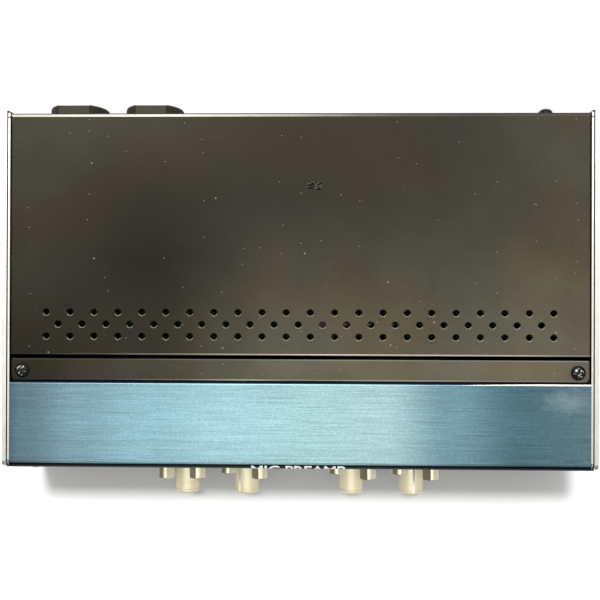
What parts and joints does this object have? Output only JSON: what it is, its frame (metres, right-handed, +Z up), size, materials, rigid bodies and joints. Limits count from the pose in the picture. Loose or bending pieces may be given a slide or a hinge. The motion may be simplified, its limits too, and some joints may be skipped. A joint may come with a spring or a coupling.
{
  "type": "microphone preamp",
  "caption": "Half-rack stereo tube microphone preamp: knobs, push switches and needle meters in front, sockets and power switch behind, vented cover on a steel tray.",
  "frame": {"origin": "on the plane the feet stand on, below the centre of the overall envelope, knob ends to connector noses", "axes": "+X to the right seen from the front, +Y from the knobs towards the rear connectors, +Z up"},
  "size_m": [0.235, 0.1616, 0.0444],
  "materials": {
    "tray_steel": "satin plated sheet",
    "black_coat": "satin warm black powder coat",
    "blue_anodise": "brushed and anodised blue",
    "silver_anodise": "satin silver",
    "knob_silver": "fine turned, clear anodised",
    "button_silver": "satin silver",
    "black_screw": "black oxide",
    "zinc_screw": "zinc plated",
    "nickel": "nickel plated",
    "foot_rubber": "matt",
    "black_plastic": "fine grain",
    "latch_plastic": "fine grain",
    "switch_plastic": "gloss",
    "meter_card": "matt print",
    "clear_lens": "clear",
    "needle_black": "satin",
    "lamp_white": "milky",
    "board_green": "solder mask",
    "chip_black": "moulded",
    "brass": "bright",
    "tube_glass": "clear, part silvered",
    "socket_ceramic": "bisque",
    "capacitor_sleeve": "shrink sleeve",
    "sink_black": "black anodised",
    "ribbon_grey": "flat cable",
    "ferrite": "sintered"
  },
  "bodies": {
    "case": {"chassis_tray": "tray_steel", "rear_panel": "black_coat", "top_cover": "black_coat", "front_fascia": "blue_anodise", "retaining_strip": "black_coat", "side_cheek_left": "silver_anodise", "side_cheek_right": "silver_anodise", "rubber_feet": "foot_rubber", "foot_screws": "zinc_screw", "strip_screws": "black_screw", "cover_screw": "black_screw", "cheek_screws": "zinc_screw", "panel_screws": "zinc_screw", "potentiometers": "nickel", "pot_nuts": "nickel", "push_switches": "chip_black", "meter_cases": "black_plastic", "meter_scales": "meter_card", "meter_lenses": "clear_lens", "indicator_lamps": "lamp_white", "combo_jacks": "black_plastic", "pin_outputs": "black_plastic", "output_pins": "nickel", "jack_sockets": "black_plastic", "jack_nuts": "nickel", "power_inlet": "black_plastic", "power_switch_frame": "switch_plastic", "connector_screws": "black_screw", "main_board": "board_green", "control_board": "board_green", "board_standoffs": "brass", "board_screws": "zinc_screw", "vacuum_tube": "tube_glass", "tube_socket": "socket_ceramic", "filter_capacitors": "capacitor_sleeve", "heat_sink": "sink_black", "amplifier_chips": "chip_black", "ribbon_cable": "ribbon_grey", "converter_transformer": "ferrite"},
    "gain_knob_1_body": {"gain_knob_1": "knob_silver", "pot_shaft_1": "nickel"},
    "drive_knob_1_body": {"drive_knob_1": "knob_silver", "pot_shaft_2": "nickel"},
    "gain_knob_2_body": {"gain_knob_2": "knob_silver", "pot_shaft_3": "nickel"},
    "drive_knob_2_body": {"drive_knob_2": "knob_silver", "pot_shaft_4": "nickel"},
    "phantom_button_1_body": {"phantom_button_1": "button_silver"},
    "pad_button_1_body": {"pad_button_1": "button_silver"},
    "polarity_button_1_body": {"polarity_button_1": "button_silver"},
    "low_cut_button_1_body": {"low_cut_button_1": "button_silver"},
    "phantom_button_2_body": {"phantom_button_2": "button_silver"},
    "pad_button_2_body": {"pad_button_2": "button_silver"},
    "polarity_button_2_body": {"polarity_button_2": "button_silver"},
    "low_cut_button_2_body": {"low_cut_button_2": "button_silver"},
    "meter_needle_left_body": {"meter_needle_left": "needle_black"},
    "meter_needle_right_body": {"meter_needle_right": "needle_black"},
    "combo_latch_1_body": {"combo_latch_1": "latch_plastic"},
    "combo_latch_2_body": {"combo_latch_2": "latch_plastic"},
    "power_rocker_body": {"power_rocker": "switch_plastic"}
  },
  "joints": [
    {"name": "gain_knob_1_turn", "type": "hinge", "parent": "case", "child": "gain_knob_1_body", "pos_m": [-0.0474, -0.07365, 0.0187], "axis": [0, 1, 0], "range_deg": [-55, 245]},
    {"name": "drive_knob_1_turn", "type": "hinge", "parent": "case", "child": "drive_knob_1_body", "pos_m": [-0.022, -0.07365, 0.0187], "axis": [0, 1, 0], "range_deg": [-114, 186]},
    {"name": "gain_knob_2_turn", "type": "hinge", "parent": "case", "child": "gain_knob_2_body", "pos_m": [0.022, -0.07365, 0.0187], "axis": [0, 1, 0], "range_deg": [-20, 280]},
    {"name": "drive_knob_2_turn", "type": "hinge", "parent": "case", "child": "drive_knob_2_body", "pos_m": [0.0474, -0.07365, 0.0187], "axis": [0, 1, 0], "range_deg": [-158, 142]},
    {"name": "phantom_button_1_press", "type": "slide", "parent": "case", "child": "phantom_button_1_body", "axis": [0, 1, 0], "range_m": [0, 0.003]},
    {"name": "pad_button_1_press", "type": "slide", "parent": "case", "child": "pad_button_1_body", "axis": [0, 1, 0], "range_m": [0, 0.003]},
    {"name": "polarity_button_1_press", "type": "slide", "parent": "case", "child": "polarity_button_1_body", "axis": [0, 1, 0], "range_m": [-0.0022, 0.0008]},
    {"name": "low_cut_button_1_press", "type": "slide", "parent": "case", "child": "low_cut_button_1_body", "axis": [0, 1, 0], "range_m": [0, 0.003]},
    {"name": "phantom_button_2_press", "type": "slide", "parent": "case", "child": "phantom_button_2_body", "axis": [0, 1, 0], "range_m": [-0.0022, 0.0008]},
    {"name": "pad_button_2_press", "type": "slide", "parent": "case", "child": "pad_button_2_body", "axis": [0, 1, 0], "range_m": [0, 0.003]},
    {"name": "polarity_button_2_press", "type": "slide", "parent": "case", "child": "polarity_button_2_body", "axis": [0, 1, 0], "range_m": [-0.0022, 0.0008]},
    {"name": "low_cut_button_2_press", "type": "slide", "parent": "case", "child": "low_cut_button_2_body", "axis": [0, 1, 0], "range_m": [0, 0.003]},
    {"name": "meter_needle_left_swing", "type": "hinge", "parent": "case", "child": "meter_needle_left_body", "pos_m": [-0.081, -0.05695, 0.0109], "axis": [0, 1, 0], "range_deg": [0, 90]},
    {"name": "meter_needle_right_swing", "type": "hinge", "parent": "case", "child": "meter_needle_right_body", "pos_m": [0.081, -0.05695, 0.0109], "axis": [0, 1, 0], "range_deg": [0, 90]},
    {"name": "combo_latch_1_press", "type": "slide", "parent": "case", "child": "combo_latch_1_body", "axis": [0, 0, -1], "range_m": [0, 0.0015]},
    {"name": "combo_latch_2_press", "type": "slide", "parent": "case", "child": "combo_latch_2_body", "axis": [0, 0, -1], "range_m": [0, 0.0015]},
    {"name": "power_rocker_tilt", "type": "hinge", "parent": "case", "child": "power_rocker_body", "pos_m": [0.07, 0.07225, 0.022], "axis": [1, 0, 0], "range_deg": [0, 18]}
  ]
}
